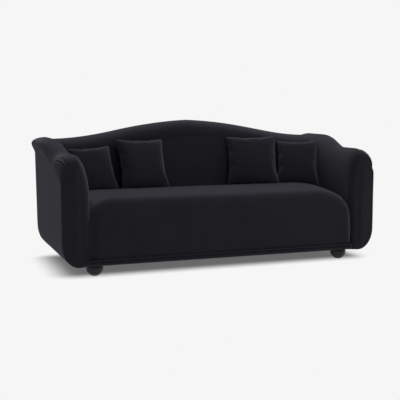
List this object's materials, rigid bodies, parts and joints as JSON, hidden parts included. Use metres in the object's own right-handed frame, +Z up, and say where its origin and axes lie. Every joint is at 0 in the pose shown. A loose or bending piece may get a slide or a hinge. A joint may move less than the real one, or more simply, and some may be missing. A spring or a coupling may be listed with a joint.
{
  "type": "camelback sofa",
  "caption": "Three-seat camelback sofa with rolled wings, ruched arm fronts, a tight bench seat, ball feet and loose throw cushions.",
  "frame": {"origin": "on the floor under the middle of the sofa", "axes": "+X to the viewer's right, +Y from the front to the back, +Z up"},
  "size_m": [2.134, 0.984, 0.918],
  "materials": {
    "velvet": "black velvet with a soft sheen",
    "lining": "black non-woven cloth",
    "foam": "upholstery foam under wadding",
    "hardwood": "sawn, unfinished",
    "lacquer": "black satin lacquer",
    "steel": "drawn wire and plated bolts"
  },
  "bodies": {
    "sofa": {"front_seat_rail": "hardwood", "rear_seat_rail": "hardwood", "seat_stretcher": "hardwood", "side_rail_left": "hardwood", "arm_post_left": "hardwood", "arm_top_rail_left": "hardwood", "arm_tack_rail_left": "hardwood", "arm_front_board_left": "hardwood", "side_rail_right": "hardwood", "arm_post_right": "hardwood", "arm_top_rail_right": "hardwood", "arm_tack_rail_right": "hardwood", "arm_front_board_right": "hardwood", "back_post_left": "hardwood", "back_upright_left": "hardwood", "back_post_right": "hardwood", "back_upright_right": "hardwood", "back_upright_middle": "hardwood", "back_top_rail": "hardwood", "front_foot_left": "lacquer", "front_hanger_bolt_left": "steel", "front_corner_block_left": "hardwood", "rear_foot_left": "lacquer", "rear_hanger_bolt_left": "steel", "rear_corner_block_left": "hardwood", "front_foot_right": "lacquer", "front_hanger_bolt_right": "steel", "front_corner_block_right": "hardwood", "rear_foot_right": "lacquer", "rear_hanger_bolt_right": "steel", "rear_corner_block_right": "hardwood", "seat_spring_1": "steel", "seat_spring_2": "steel", "seat_spring_3": "steel", "seat_spring_4": "steel", "seat_spring_5": "steel", "seat_spring_6": "steel", "spring_liner": "lining", "seat_padding": "foam", "seat_cover": "velvet", "base_band": "velvet", "front_welt": "velvet", "back_padding": "foam", "inside_back_cover": "velvet", "outside_back_panel": "velvet", "dust_cover": "lining", "arm_front_cover_left": "velvet", "arm_cover_left": "velvet", "arm_padding_left": "foam", "arm_front_cover_right": "velvet", "arm_cover_right": "velvet", "arm_padding_right": "foam"},
    "cushion_far_left": {"throw_cushion_far_left": "velvet"},
    "cushion_left": {"throw_cushion_left": "velvet"},
    "cushion_right": {"throw_cushion_right": "velvet"},
    "cushion_far_right": {"throw_cushion_far_right": "velvet"}
  },
  "joints": [
    {"name": "cushion_far_left_lift", "type": "slide", "parent": "sofa", "child": "cushion_far_left", "axis": [0, 0, 1], "range_m": [0, 0.5]},
    {"name": "cushion_left_lift", "type": "slide", "parent": "sofa", "child": "cushion_left", "axis": [0, 0, 1], "range_m": [0, 0.5]},
    {"name": "cushion_right_lift", "type": "slide", "parent": "sofa", "child": "cushion_right", "axis": [0, 0, 1], "range_m": [0, 0.5]},
    {"name": "cushion_far_right_lift", "type": "slide", "parent": "sofa", "child": "cushion_far_right", "axis": [0, 0, 1], "range_m": [0, 0.5]}
  ]
}
